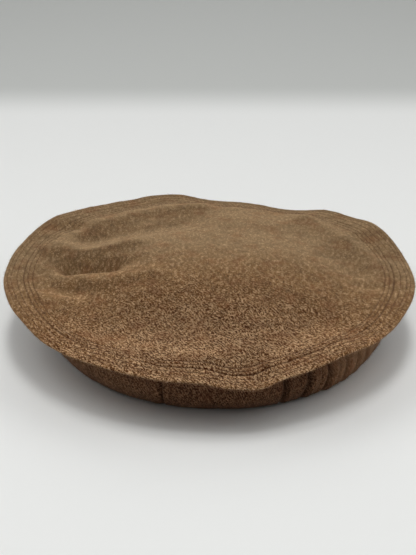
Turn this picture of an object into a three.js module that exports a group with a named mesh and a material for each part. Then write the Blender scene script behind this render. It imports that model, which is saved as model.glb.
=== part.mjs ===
// A pakol: a soft round cap of thick hand-woven wool, lying on a table.
// A flat round crown is sewn edge to edge to a long cloth side. The side runs inwards under the
// crown's rim, turns down as the wall of the head opening, and is then rolled up outwards from the
// bottom into the band that the cap rests on. +Z is up, -Y is the front, and the origin is on the
// table under the middle of the crown. Lengths are in millimetres and angles in degrees, counted
// anticlockwise from +X as seen from above.
import * as THREE from "three";

// The crown: one disc of cloth, turned round at its edge
const crownRadius = 143.5;
const crownCloth = 2.4;

// The side: one strip of fulled wool, sewn into a tube
const sideCloth = 2.8;
const headRadius = 92; // a head of about 58 cm round
const rollWidth = 31;
const rollHeight = 38;
const rollTurns = 2.25;
const rollSlack = 1; // air between one turn of the roll and the next
const rollPressed = 1.3; // how far the roll's underside is pressed flat by the weight on it
const sewnGap = 0.3; // between layers that lie on each other
const seamTurning = 3; // how far inside the crown's edge the side is sewn to it

// How far the roll has slipped from under the middle of the crown
const rollShift = new THREE.Vector2(6, 3);

// Sections round the hat: close together over the gathers, further apart elsewhere
const gatherStart = -75;
const gatherSpan = 38;
const gatherSections = 20;
const plainSections = 50;

// Rings of the crown, as shares of its radius. Those of the rim are also the flange's.
const middleRings = [0, 0.13, 0.25, 0.36, 0.47, 0.57, 0.66];
const rimRings = [0.73, 0.8, 0.87, 0.93];

// Points round one turn of the roll, on its outside and in its heart
const outerPoints = 12;
const innerPoints = 8;

// The rim's edge, section by section. lift is a share of the roll's height and reach a share of
// the crown's radius, both added to the plain flat round.
const rimSections = [
  { at: -165, lift: 0.11, reach: 0 },
  { at: -150, lift: 0.085, reach: 0 },
  { at: -135, lift: -0.03, reach: 0 },
  { at: -118, lift: -0.03, reach: 0 },
  { at: -100, lift: -0.08, reach: 0 },
  { at: -92, lift: -0.09, reach: 0 },
  { at: -84, lift: -0.18, reach: 0.008 },
  { at: -78, lift: -0.21, reach: 0.012 },
  { at: -71, lift: -0.1, reach: 0.004 },
  { at: -63, lift: -0.05, reach: 0 },
  { at: -53, lift: 0.02, reach: 0 },
  { at: -45, lift: -0.02, reach: 0 },
  { at: -37, lift: -0.02, reach: 0 },
  { at: -26, lift: 0.04, reach: 0 },
  { at: -10, lift: 0.07, reach: 0 },
  { at: 9, lift: 0.05, reach: 0 },
  { at: 18, lift: 0.14, reach: 0 },
  { at: 27, lift: 0.225, reach: 0 },
  { at: 38, lift: 0.14, reach: 0 },
  { at: 50, lift: 0.08, reach: 0 },
  { at: 60, lift: -0.07, reach: -0.008 },
  { at: 80, lift: -0.06, reach: -0.008 },
  { at: 90, lift: -0.05, reach: 0 },
  { at: 100, lift: 0.1, reach: 0 },
  { at: 120, lift: 0.12, reach: 0 },
  { at: 135, lift: 0.19, reach: 0 },
  { at: 146, lift: 0.255, reach: 0 },
  { at: 165, lift: 0.165, reach: 0 },
  { at: 180, lift: 0.12, reach: 0 },
];
const rimBendStart = 0.66; // where the rim starts to bend, as a share of the crown's radius

// Folds of the crown, each along a line from one place to another. x, y and width are shares of
// the crown's radius, rise is a share of the roll's height and is negative in a valley.
const crownFolds = [
  { name: "long ridge", x0: -0.93, y0: 0.12, x1: -0.42, y1: 0.24, width: 0.09, rise: 0.1 },
  { name: "valley before it", x0: -0.76, y0: 0.01, x1: -0.42, y1: 0.03, width: 0.08, rise: -0.16 },
  { name: "middle ridge", x0: -0.62, y0: -0.1, x1: -0.3, y1: -0.15, width: 0.06, rise: 0.05 },
  { name: "back valley", x0: -0.62, y0: 0.34, x1: -0.1, y1: 0.55, width: 0.09, rise: -0.08 },
  { name: "ridge at the left", x0: -0.72, y0: 0.3, x1: -0.43, y1: 0.66, width: 0.08, rise: 0.07 },
  { name: "ridge behind it", x0: -0.4, y0: 0.69, x1: -0.05, y1: 0.79, width: 0.08, rise: 0.07 },
  { name: "right ridge", x0: 0.47, y0: 0.69, x1: 0.84, y1: 0.1, width: 0.07, rise: 0.08 },
  { name: "right hollow", x0: 0.6, y0: 0.26, x1: 0.68, y1: 0.12, width: 0.1, rise: -0.06 },
  { name: "front hollow", x0: -0.35, y0: -0.54, x1: 0.5, y1: -0.5, width: 0.13, rise: -0.06 },
];

// The puffed middle of the crown, as shares of the same sizes
const puff = { x: 0.02, y: 0.1, flat: 0.2, radius: 0.88, rise: 0.28 };

// The crown's edge, stitched and double, is too stiff to follow the folds
const stiffEdge = { start: 0.86, share: 0.8 };

// Gathers in the roll, each a groove that runs from its top to its foot. width is in degrees and
// depth is a share of the roll's width, negative where the cloth stands proud.
const gathers = [
  { name: "side seam's welt", at: -110, width: 4, depth: -0.02 },
  { name: "first gather", at: -70.3, width: 1.5, depth: 0.05 },
  { name: "first pleat", at: -67.4, width: 1.8, depth: -0.02 },
  { name: "second gather", at: -63.3, width: 1.4, depth: 0.06 },
  { name: "second pleat", at: -60.9, width: 1.5, depth: -0.02 },
  { name: "third gather", at: -58, width: 1.3, depth: 0.03 },
  { name: "fourth gather", at: -55, width: 1.4, depth: 0.07 },
  { name: "fourth pleat", at: -52, width: 2, depth: -0.02 },
  { name: "fifth gather", at: -46.2, width: 1.8, depth: 0.05 },
  { name: "sixth gather", at: -40.1, width: 1.8, depth: 0.04 },
];

const radians = THREE.MathUtils.degToRad;
const { smoothstep } = THREE.MathUtils;

// The roll's section is a flat-bottomed spiral. Its first turn gives its width and its height.
const layerStep = sideCloth + rollSlack;
const halfWide = (rollWidth + layerStep / 2) / 2;
const halfHigh = (rollHeight + rollPressed + layerStep) / 2;
const rollRadius = headRadius + halfWide; // from the hat's axis to the middle of the roll
const rollMiddle = halfHigh - layerStep / 4 - rollPressed;
const flangeLow = rollHeight + sewnGap;
const crownLow = flangeLow + sideCloth + sewnGap;
const turnedEdge = crownCloth / 2;

function stationAngles() {
  const angles = [];
  for (let i = 0; i < gatherSections; i += 1) {
    angles.push(gatherStart + (gatherSpan * i) / gatherSections);
  }
  for (let i = 0; i < plainSections; i += 1) {
    angles.push(gatherStart + gatherSpan + ((360 - gatherSpan) * i) / plainSections);
  }
  return angles;
}

const stations = stationAngles();

// A smooth curve through one column of a table of sections, closed round the hat
function roundCurve(rows, column) {
  const last = rows[rows.length - 1];
  const closed = [{ ...last, at: last.at - 360 }, ...rows, { ...rows[0], at: rows[0].at + 360 }];
  const angles = closed.map((row) => row.at);
  const values = closed.map((row) => row[column]);
  const curve = new THREE.CubicInterpolant(angles, values, 1);
  return (angle) => curve.evaluate(THREE.MathUtils.euclideanModulo(angle + 180, 360) - 180)[0];
}

const rimLift = roundCurve(rimSections, "lift");
const rimReach = roundCurve(rimSections, "reach");

// How far a fold lifts the crown at a place given in shares of its radius
function foldRise(fold, x, y) {
  const line = new THREE.Line3(
    new THREE.Vector3(fold.x0, fold.y0, 0),
    new THREE.Vector3(fold.x1, fold.y1, 0),
  );
  const place = new THREE.Vector3(x, y, 0);
  const nearest = line.closestPointToPoint(place, true, new THREE.Vector3());
  const away = place.distanceTo(nearest) / fold.width;
  return fold.rise * Math.exp(-away * away);
}

// How far the cloth over the roll lies above its plain level, at a place seen from above
function relief(x, y) {
  const sx = x / crownRadius;
  const sy = y / crownRadius;
  const angle = THREE.MathUtils.radToDeg(Math.atan2(sy, sx));
  const bend = smoothstep(Math.hypot(sx, sy), rimBendStart, 1);
  const middle = 1 - smoothstep(Math.hypot(sx - puff.x, sy - puff.y), puff.flat, puff.radius);
  let share = puff.rise * middle;
  for (const fold of crownFolds) share += foldRise(fold, sx, sy);
  share *= 1 - stiffEdge.share * smoothstep(Math.hypot(sx, sy), stiffEdge.start, 1);
  return (share + bend * rimLift(angle)) * rollHeight;
}

// Where a point of the plain round crown lies, and of the flange under it
function placeOnCrown(radius, height, angle) {
  const bend = smoothstep(radius, rimBendStart * crownRadius, crownRadius);
  const out = radius * (1 + bend * rimReach(angle));
  const x = out * Math.cos(radians(angle));
  const y = out * Math.sin(radians(angle));
  return new THREE.Vector3(x, y, height + relief(x, y));
}

function gatherDepth(angle) {
  let depth = 0;
  for (const gather of gathers) {
    const away = (angle - gather.at) / gather.width;
    depth += gather.depth * Math.exp(-away * away);
  }
  return depth * rollWidth;
}

// Where a point of the plain round side lies. The flange keeps to the crown, and the lower a
// point of the roll is, the more it has slipped and the less it follows the crown's folds.
function placeOnSide(radius, height, angle) {
  const upper = smoothstep(height, rollMiddle, rollHeight);
  const flange = smoothstep(height, rollMiddle, flangeLow);
  const outer = smoothstep(radius, rollRadius, headRadius + rollWidth);
  const gathered = gatherDepth(angle) * outer * (1 - flange);
  const spot = placeOnCrown(radius - gathered, 0, angle);
  const low = Math.max(0, height + spot.z * upper);
  return new THREE.Vector3(
    spot.x + rollShift.x * (1 - flange),
    spot.y + rollShift.y * (1 - flange),
    low,
  );
}

// A closed profile taken round the hat, each of its points set down by the piece's own rule. Two
// cloths that face each other are split along the same diagonals, so that they keep clear of each
// other over the folds: one of them is sewn the other way round, and its faces are turned back.
function sewRound(profile, place, otherWay) {
  const line = otherWay ? [...profile].reverse() : profile;
  const geometry = new THREE.LatheGeometry(line, stations.length);
  const position = geometry.getAttribute("position");
  for (let i = 0; i < position.count; i += 1) {
    const section = Math.floor(i / line.length) % stations.length;
    const point = line[i % line.length];
    const spot = place(point.x, point.y, stations[section]);
    position.setXYZ(i, spot.x, spot.y, spot.z);
  }
  const index = geometry.getIndex();
  for (let i = 0; otherWay && i < index.count; i += 3) {
    const first = index.getX(i);
    index.setX(i, index.getX(i + 1));
    index.setX(i + 1, first);
  }
  geometry.deleteAttribute("normal");
  geometry.deleteAttribute("uv");
  return geometry;
}

// A strip of cloth in section: its middle line made as thick as the cloth, and closed at its ends
function stripProfile(line, thickness) {
  const near = [];
  const far = [];
  line.forEach((point, i) => {
    const before = line[Math.max(0, i - 1)];
    const after = line[Math.min(line.length - 1, i + 1)];
    const along = after.clone().sub(before).normalize();
    const across = new THREE.Vector2(along.y, -along.x).multiplyScalar(thickness / 2);
    near.push(point.clone().add(across));
    far.push(point.clone().sub(across));
  });
  return [...near, ...far.reverse(), near[0].clone()];
}

// The crown in section, from the middle of its underside round the edge to the middle of its top
function crownProfile() {
  const high = crownLow + crownCloth;
  const rings = [...middleRings, ...rimRings].map((share) => share * crownRadius);
  rings.push(crownRadius - seamTurning);
  const at = (radius, height) => new THREE.Vector2(radius, height);
  return [
    ...rings.map((radius) => at(radius, crownLow)),
    at(crownRadius - turnedEdge, crownLow),
    at(crownRadius, crownLow + turnedEdge),
    at(crownRadius - turnedEdge, high),
    ...rings.reverse().map((radius) => at(radius, high)),
  ];
}

// The middle line of the side's cloth: flange, head wall, then the roll from outside to heart
function sideLine() {
  const level = flangeLow + sideCloth / 2;
  const wall = headRadius + sideCloth / 2;
  const rings = rimRings.map((share) => share * crownRadius);
  const line = [crownRadius - seamTurning, ...rings.reverse()].map(
    (radius) => new THREE.Vector2(radius, level),
  );
  line.push(new THREE.Vector2(wall + sideCloth / 3, level - sideCloth / 2));
  line.push(new THREE.Vector2(wall, level - sideCloth * 1.6));
  const turns = [];
  for (let i = 0; i < outerPoints; i += 1) turns.push((i + 0.5) / outerPoints);
  for (let i = 0; i < (rollTurns - 1) * innerPoints; i += 1) turns.push(1 + (i + 0.5) / innerPoints);
  for (const turn of turns) {
    const angle = Math.PI * (1 + 2 * turn);
    const inset = sideCloth / 2 + layerStep * turn;
    line.push(
      new THREE.Vector2(
        rollRadius + (halfWide - inset) * Math.cos(angle),
        rollMiddle + (halfHigh - inset) * Math.sin(angle),
      ),
    );
  }
  return line;
}

function cloth(name, geometry, colour, roughness) {
  const material = new THREE.MeshStandardMaterial({ color: colour, roughness, metalness: 0 });
  const mesh = new THREE.Mesh(geometry, material);
  mesh.name = name;
  return mesh;
}

const pakol = new THREE.Group();
const crown = sewRound(crownProfile(), placeOnCrown, false);
const side = sewRound(stripProfile(sideLine(), sideCloth), placeOnSide, true);
pakol.add(cloth("crown", crown, 0x8a6a4c, 0.95));
pakol.add(cloth("rolled_side", side, 0x6b4f38, 0.95));

export default pakol;
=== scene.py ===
"""A pakol, a soft round cap of fulled brown wool, lying on a pale table.

The crown is one round of cloth with a stitched rim. The side is one long strip that runs in under
the rim, turns down as the wall of the head opening and is rolled up outwards into the band that
the cap rests on. Lengths are in metres unless a name says otherwise. +Z is up and -Y is the front.
Angles are in degrees round the hat, anticlockwise from +X as seen from above.
"""

import math

import bpy
import numpy as np
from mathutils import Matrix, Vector


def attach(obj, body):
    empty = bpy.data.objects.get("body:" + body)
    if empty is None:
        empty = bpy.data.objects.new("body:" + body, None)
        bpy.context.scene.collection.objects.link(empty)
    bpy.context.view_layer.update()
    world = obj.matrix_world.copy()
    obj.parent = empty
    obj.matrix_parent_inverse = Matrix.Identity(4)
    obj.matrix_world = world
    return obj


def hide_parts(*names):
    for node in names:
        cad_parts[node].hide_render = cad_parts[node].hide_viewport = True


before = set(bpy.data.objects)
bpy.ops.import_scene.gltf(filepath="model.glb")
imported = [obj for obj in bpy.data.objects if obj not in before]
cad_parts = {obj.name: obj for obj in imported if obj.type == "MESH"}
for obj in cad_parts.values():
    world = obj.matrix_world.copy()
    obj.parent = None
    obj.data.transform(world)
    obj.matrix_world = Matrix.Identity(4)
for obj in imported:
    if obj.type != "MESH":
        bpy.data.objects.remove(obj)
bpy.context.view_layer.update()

bl_info = {
    "name": "Pakol",
    "version": (1, 0, 0),
    "blender": (4, 5, 0),
    "location": "View3D > Sidebar > Pakol",
    "description": "Builds a rolled wool cap with a stitched crown",
    "category": "Add Mesh",
}

MM = 0.001
# Lengths too small to count, in metres, and to divide by
NEARLY_NONE = 1e-6
TINY = 1e-9
# The map that lays each cloth flat
CLOTH_MAP = "cloth"

# The rim's edge, section by section: lift is a share of the roll's height and reach a share of the
# crown's radius, both added to the plain flat round.
RIM_COLUMNS = ("at", "lift", "reach")
RIM_SECTIONS = [
    (-165, 0.11, 0.0),
    (-150, 0.085, 0.0),
    (-135, -0.03, 0.0),
    (-118, -0.03, 0.0),
    (-100, -0.08, 0.0),
    (-92, -0.09, 0.0),
    (-84, -0.18, 0.008),
    (-78, -0.21, 0.012),
    (-71, -0.1, 0.004),
    (-67, -0.085, 0.0),
    (-63, -0.05, 0.0),
    (-53, 0.02, 0.0),
    (-45, -0.02, 0.0),
    (-37, -0.02, 0.0),
    (-26, 0.04, 0.0),
    (-10, 0.07, 0.0),
    (9, 0.05, 0.0),
    (18, 0.14, 0.0),
    (27, 0.225, 0.0),
    (38, 0.14, 0.0),
    (50, 0.08, 0.0),
    (60, -0.07, -0.008),
    (80, -0.06, -0.008),
    (90, -0.05, 0.0),
    (100, 0.1, 0.0),
    (120, 0.12, 0.0),
    (135, 0.19, 0.0),
    (146, 0.255, 0.0),
    (165, 0.165, 0.0),
    (180, 0.12, 0.0),
]
# Shares of the crown's radius: where the rim starts to bend, and where the stitched edge starts to
# be too stiff for the folds, with the share of them that it loses
RIM_BEND_START = 0.66
STIFF_EDGE = {"start": 0.86, "share": 0.8}

# Folds of the crown. Each runs through a few places seen from above, from left to right. Places
# and widths are shares of the crown's radius: the first width is towards the front, the second
# towards the back. rise is a share of the roll's height, negative in a valley.
CROWN_FOLDS = [
    # name, places, rise, front, back
    ("long ridge", ((-0.8, 0.18), (-0.68, 0.17), (-0.56, 0.18), (-0.4, 0.22)), 0.09, 0.055, 0.1),
    ("left swell", ((-0.9, 0.03), (-0.82, 0.08)), 0.04, 0.13, 0.09),
    ("valley before it", ((-0.69, 0.015), (-0.6, 0.02), (-0.49, 0.0)), -0.2, 0.05, 0.06),
    ("valley's end", ((-0.46, -0.02), (-0.37, 0.01)), -0.04, 0.05, 0.06),
    (
        "middle ridge",
        ((-0.64, -0.12), (-0.52, -0.17), (-0.4, -0.16), (-0.28, -0.14)),
        0.05,
        0.07,
        0.06,
    ),
    ("small valley", ((-0.72, -0.19), (-0.6, -0.22)), -0.05, 0.09, 0.05),
    ("left ridge", ((-0.84, -0.27), (-0.75, -0.3), (-0.65, -0.33)), 0.03, 0.06, 0.05),
    ("left hollow", ((-0.8, -0.38), (-0.7, -0.5)), -0.03, 0.07, 0.07),
    ("back valley", ((-0.62, 0.34), (-0.42, 0.4), (-0.27, 0.46), (-0.1, 0.55)), -0.08, 0.1, 0.09),
    (
        "ridge over the roll",
        ((-0.75, 0.25), (-0.71, 0.32), (-0.59, 0.53), (-0.43, 0.66), (-0.27, 0.73), (-0.05, 0.79)),
        0.08,
        0.08,
        0.06,
    ),
    ("back ridge", ((-0.05, 0.8), (0.23, 0.81), (0.45, 0.75), (0.5, 0.66)), 0.04, 0.08, 0.07),
    ("back hollow", ((-0.12, 0.42), (0.14, 0.4), (0.38, 0.35)), -0.07, 0.24, 0.13),
    (
        "right ridge",
        ((0.54, 0.61), (0.62, 0.48), (0.73, 0.26), (0.84, 0.09), (0.93, 0.03)),
        0.07,
        0.12,
        0.05,
    ),
    ("back left hollow", ((-0.83, 0.43), (-0.7, 0.47)), -0.07, 0.05, 0.05),
    ("back right hollow", ((0.78, 0.46), (0.84, 0.35)), -0.01, 0.05, 0.05),
    ("right hollow", ((0.64, 0.12), (0.72, 0.0)), -0.05, 0.12, 0.12),
    ("right crease", ((0.72, -0.17), (0.84, -0.2)), -0.02, 0.04, 0.05),
    (
        "front hollow",
        ((-0.42, -0.58), (-0.1, -0.64), (0.3, -0.64), (0.5, -0.55)),
        -0.042,
        0.13,
        0.13,
    ),
    ("left shoulder", ((-0.34, -0.32), (-0.14, -0.27)), 0.03, 0.1, 0.1),
    ("right shoulder", ((0.34, -0.26), (0.46, -0.34)), 0.03, 0.1, 0.1),
    ("front left lump", ((-0.48, -0.82), (-0.36, -0.82)), 0.028, 0.06, 0.06),
    ("front middle lump", ((-0.1, -0.82), (0.0, -0.82)), 0.03, 0.06, 0.06),
    ("front right lump", ((0.26, -0.84), (0.42, -0.8), (0.56, -0.7)), 0.012, 0.07, 0.07),
    ("rim dimple", ((0.07, -0.9), (0.19, -0.92)), -0.03, 0.05, 0.06),
]

# The puffed middle of the crown: place, flat part and foot as shares of the crown's radius, rise as
# a share of the roll's height
DOME = {"x": 0.02, "y": 0.1, "inner": 0.2, "outer": 0.88, "rise": 0.3}

# Rows of stitching round the rim: how far each runs inside the edge, and how deep it is sunk
STITCH_ROWS = [
    # from the edge, depth, both in mm
    (3.0, 0.06),
    (5.6, 0.16),
    (9.7, 0.28),
    (14.2, 0.75),
    (17.2, 0.32),
    (20.3, 0.42),
]

# The grooves of those rows: half width in mm, and how much of their depth they have everywhere,
# at the front and where the rim droops, which is at one place and so wide in degrees
GROOVE_HALF_WIDTH = 0.65
GROOVE_SHARES = {"everywhere": 0.08, "front": 0.6, "droop": 0.7}
DROOP = {"at": -88, "width": 28}
# By chance each row is drawn in more or less along its way: wavelength in mm, seed of the first row
ROW_PULL = {"share": 0.5, "least": 0.5, "most": 1.6, "wavelength": 45, "seed": 20}

# A stitch: places along it, from 0 to 1, each with its width as a share of the thread's, how far it
# is bowed up, how far it reaches each way, and how far each row starts on from the one before, the
# last two as shares of the stitch length
STITCH_FORM = ((0, 0.5), (0.15, 1.0), (0.85, 1.0), (1.0, 0.5))
STITCH_BOW = 1.2
STITCH_REACH = 0.4
ROW_OFFSET = 0.37

# Painted shade where the cloth slopes up to the back and so faces the front, away from the light
# from above: the slope that darkens it nearly all the way, what the stitched rim has lost of it at
# the back and more at the front, and where that starts and ends on the crown's radius
PAINTED_SLOPE_SHADE = {"slope": 0.21, "worn": 0.3, "worn_front": 0.5, "start": 0.8, "end": 0.92}

# Gathers of the roll: width and lean in degrees, depth in mm and negative where it stands proud
GATHERS = [
    # at, width, depth, lean from foot to top
    (-132.0, 1.6, 0.6, 0.8),
    (-110.0, 1.7, -1.2, 0.8),
    (-107.4, 0.6, 3.2, 0.8),
    (-90.2, 0.9, 0.5, 0.5),
    (-69.8, 0.8, 3.2, 0.6),
    (-68.2, 0.5, -1.2, 0.6),
    (-61.6, 1.0, 3.6, 2.2),
    (-59.9, 0.5, -1.4, 2.4),
    (-57.2, 0.5, 1.2, 2.0),
    (-53.8, 1.0, 4.0, 2.0),
    (-52.0, 0.6, -1.6, 1.8),
    (-49.6, 0.5, 1.3, 1.0),
    (-46.2, 0.8, 2.2, 0.8),
    (-44.4, 0.6, -1.0, 0.8),
    (-40.1, 0.7, 1.8, 0.5),
    (-38.4, 0.6, -0.8, 0.5),
    (-34.0, 1.0, 1.4, 0.2),
    (-26.0, 1.3, 1.0, 0.0),
]

# Where the roll lies flatter behind its gathers: place and width in degrees, depth in mm
FLATTER_END = {"at": -31.0, "width": 14.0, "depth": 2.6}

# Sections crowd together at the gathers, where the folds are finest: place in degrees, and share
CROWDING = {"at": -62, "share": 0.5}

# Towards its ends the front of the roll is painted paler: painted light from the sides and from
# the floor, with greyer nap
ROLL_ENDS_LIT_AND_GREY = [
    # at, in full to, fades until, all in degrees, then painted light as negative painted shading,
    # haze of grey nap
    (-38, 8, 28, -2.8, 0.6),
    (-137, 12, 38, -0.9, 0.3),
]

# Chance waves: how many lie over each other, and their lengths as shares of the one stated
WAVES = 9
WAVE_SPREAD = (0.7, 1.5)
UNEVENNESS = {
    # height and wavelength in mm, seed
    "rows of stitching": ((0.45, 70, 5), (0.2, 22, 6)),
    "puckered rim": ((0.16, 9, 31),),
    "crown's edge": ((0.35, 38, 11),),
    "crown": ((0.3, 26, 3), (0.12, 9, 4)),
    "roll": ((0.5, 42, 8), (0.22, 13, 9)),
}

# Rings of the crown's mesh. The first and last are shares of its radius, and those on the stitched
# rim are in mm from the edge: first, end, step.
CROWN_UNDERSIDE = (0.2, 0.42, 0.62, 0.8, 0.93)
CROWN_RIM = (2.2, 25.0, 1.6)
CROWN_TOP = (0.78, 0.73, 0.68, 0.62, 0.56, 0.5, 0.43, 0.36, 0.29, 0.22, 0.15, 0.08, 0.02)
CROWN_STATIONS = 156

# Rings of the side's mesh: the flange's as shares of the crown's radius, then how many lie on the
# outer turn of the roll and on each turn inside it
FLANGE = (0.94, 0.88, 0.82, 0.76, 0.7)
OUTER_TURN_RINGS = 20
INNER_TURN_RINGS = 8
SIDE_STATIONS = 320
# The side's mean radius, as a share of the crown's
MEAN_SIDE = 0.85

# The wool's surface. Lengths are in mm of cloth and turns in degrees. A pattern's cells are counted
# on a millimetre, and are drawn as coarse as they need to be to show.
WALE_SPACING = 2.1
FLOAT_SPACING = 1.7
WALE_TURN = -34
FIBRE_TURN = -48
YARN_DRIFT = 7
# The wales count for more than the floats, and the weave under the fibres for little
WALE_SHARE = 3.0
WEAVE_SHARE = 0.02
CLOTH_RELIEF = 0.7
WOOL_CELLS = {
    "drift": 0.09,
    "fibres": 1.1,
    "tufts": 0.45,
    "flecks": 1.0,
    "warmth": 0.07,
    "brushing": 0.12,
}
# A noise or a height lies about its mean, which is drawn in the middle wool's tone
NOISE_MEAN = 0.5
HEIGHT_MEAN = 0.546
MIDDLE_TONE = 0.54
# The face is worn clearest of nap, and painted with the least grey sheen, at the middle of its
# front, so far forwards in metres, and distances from there count less sidewards
FRONT_MIDDLE_FORWARDS = (0.0, 0.12, 0.0)
FRONT_MIDDLE_STRETCH = (0.6, 1.0, 0.0)
# How the dye of each cloth takes up red, green and blue. The side is the same wool as the crown;
# most of its darker colour is painted shade, as the roll lies under the rim
CROWN_DYE = (0.82, 0.78, 0.68)
SIDE_DYE_AND_SHADE = (0.405, 0.315, 0.27)

# Loose fibres: how many stand on the crown's face, on its edge, on the roll and where its gathers
# are rubbed. Angles are round the hat, and up the roll from its outermost line.
FIBRES = {"face": 8200, "edge": 3000, "roll": 9500, "rubbed": 2400}
FIBRE_SEED = 41
# The shade of fibres and thread changes over about 2.5 mm
SHADES_ON_METRE = 400.0
RUBBED_FROM, RUBBED_TO = -72, -20
ROLL_FOOT, ROLL_TOP = -56, 70
FACE_LEAN = (0.0, -0.9, 0.8)
EDGE_LIFT = 0.2
LOWEST_LEAN = -0.2
# A fibre: places along it with its width there, and how far it is bowed. Its middle lies a share
# of its length from its root. By chance it lies over and twists, and its length is the longest
# times a share, from the shortest's to 1, to the power of how rare the long ones are. Width in mm.
FIBRE_FORM = ((0, 1.0), (0.55, 0.7), (1.0, 0.15))
FIBRE_BOW = 9.0
FIBRE = {
    "middle": 0.45,
    "lies over": 0.75,
    "twists": 0.2,
    "shortest": 0.35,
    "rarity": 1.5,
    "width": (0.04, 0.08),
}

CAMERA_PLACE = (0.0, -0.7095, 0.3830)
CAMERA_AHEAD = (-0.0012, 0.9002, -0.4355)
CAMERA_SENSOR, CAMERA_LENS = 36, 72
TABLE_SIZE = 8.0
SKY_LIGHT = 0.15
LIGHTS = [
    # name, place, size, power
    ("Ceiling lamp", (0.02, 0.05, 3.0), 0.58, 10.9),
    ("Near lamp", (0.02, -0.6, 3.0), 0.58, 15.4),
    ("Front panel", (0.0, -0.7, 1.3), 1.0, 3.9),
    ("Left panel", (-0.95, 0.0, 1.1), 1.0, 4.8),
    ("Right panel", (0.95, -0.05, 1.0), 1.0, 4.0),
    ("Back panel", (0.0, 2.0, 1.6), 2.2, 11.1),
]


class PakolSizes(bpy.types.PropertyGroup):
    """Sizes of the hat and of its cloth"""

    def size(label, text, value):
        return bpy.props.FloatProperty(
            name=label, description=text, default=value, min=0.0, unit="LENGTH", precision=4
        )

    crown_radius: size("Crown radius", "From the middle of the crown to its rim", 143.5 * MM)
    crown_cloth: size("Crown cloth", "Thickness of the crown's cloth", 2.4 * MM)
    side_cloth: size("Side cloth", "Thickness of the side's cloth", 2.8 * MM)
    head_radius: size("Head radius", "Inside radius of the head opening", 92 * MM)
    roll_width: size("Roll width", "The roll from its inside to its outside", 31 * MM)
    roll_height: size("Roll height", "The roll from the table to its top", 38 * MM)
    roll_turns: bpy.props.FloatProperty(
        name="Roll turns", description="How often the side is rolled round", default=2.25, min=1.0
    )
    roll_slack: size("Roll slack", "Air between two turns of the roll", 1.0 * MM)
    roll_pressed: size("Roll pressed", "How far the roll is pressed flat below", 1.3 * MM)
    sewn_gap: size("Sewn gap", "Between layers that lie on each other", 0.3 * MM)
    seam_turning: size("Seam turning", "From the crown's edge to the side's", 3 * MM)
    roll_shift: bpy.props.FloatVectorProperty(
        name="Roll shift",
        description="How far the roll has slipped from under the crown's middle",
        size=2,
        default=(6 * MM, 3 * MM),
        unit="LENGTH",
    )
    stitch_length: size("Stitch length", "From one needle hole to the next", 3.1 * MM)
    thread_width: size("Thread width", "Thickness of the sewing thread", 0.32 * MM)
    nap_length: size("Nap length", "Longest loose fibre of the cloth", 1.9 * MM)


class PakolColours(bpy.types.PropertyGroup):
    """Colours of the wool, the thread and the table, as sRGB hex values"""

    def colour(label, text, value):
        return bpy.props.StringProperty(name=label, description=text, default=value)

    wool_dark: colour("Dark wool", "The darkest fibres of the mixture", "482206")
    wool_middle: colour("Middle wool", "The main fibres of the mixture", "7F592E")
    wool_light: colour("Light wool", "The lightest fibres of the mixture", "CEAE8F")
    wool_red: colour("Reddish wool", "The warm patches of the cloth", "7C4F32")
    # The worn ends of the fibres, and on the crown's face also its painted grey sheen
    grey_nap_and_sheen: colour("Grey nap", "The worn ends of the fibres", "948269")
    fleck: colour("Flecks", "The loose light fibres on the face", "CBAE8E")
    nap: colour("Nap", "The sheen of the brushed fibres", "B4977A")
    thread: colour("Thread", "The sewing thread", "5A4029")
    table: colour("Table", "The table top", "ECEDEB")
    far_table: colour("Far table", "The table top far behind the hat", "C5C7C4")


# Shapes


def turn_from(start, angle):
    """How far an angle lies from another, the shorter way round, from -180 to 180"""
    return (angle - start + 180) % 360 - 180


def on_round(radius, angle):
    """Places on a round about the hat's middle, seen from above"""
    turned = np.radians(angle)
    return radius * np.cos(turned), radius * np.sin(turned)


def rim_curve(name, angles):
    """One column of the rim's sections at any angles, smooth and closed round the hat"""
    rows = sorted(RIM_SECTIONS)
    column = RIM_COLUMNS.index(name)
    at = np.array([rows[-1][0] - 360] + [row[0] for row in rows] + [rows[0][0] + 360], float)
    value = np.array([rows[-1][column]] + [row[column] for row in rows] + [rows[0][column]], float)
    slope = np.gradient(value, at)
    slope[0] = slope[-2]
    slope[-1] = slope[1]
    turned = turn_from(0, angles)
    i = np.clip(np.searchsorted(at, turned) - 1, 0, len(at) - 2)
    span = at[i + 1] - at[i]
    t = (turned - at[i]) / span
    return (
        value[i] * (1 + 2 * t) * (1 - t) ** 2
        + slope[i] * span * t * (1 - t) ** 2
        + value[i + 1] * t * t * (3 - 2 * t)
        + slope[i + 1] * span * t * t * (t - 1)
    )


def smooth_step(value, start, end):
    """A share that grows from 0 at the start to 1 at the end, smooth at both"""
    share = np.clip((value - start) / (end - start), 0, 1)
    return share * share * (3 - 2 * share)


def undulation(x, y, wavelength, seed):
    """A smooth surface that waves by chance, mostly between -1 and 1"""
    pick = np.random.default_rng(seed)
    total = np.zeros_like(x)
    for _ in range(WAVES):
        turn, phase = pick.uniform(0, 2 * math.pi, 2)
        length = wavelength * pick.uniform(*WAVE_SPREAD)
        total += np.sin(2 * math.pi * (x * math.cos(turn) + y * math.sin(turn)) / length + phase)
    return total / (WAVES / 2)


def unevenness(name, x, y):
    """The heights of one kind of unevenness at places on the cloth"""
    return sum(
        height * MM * undulation(x, y, wavelength * MM, seed)
        for height, wavelength, seed in UNEVENNESS[name]
    )


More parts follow.
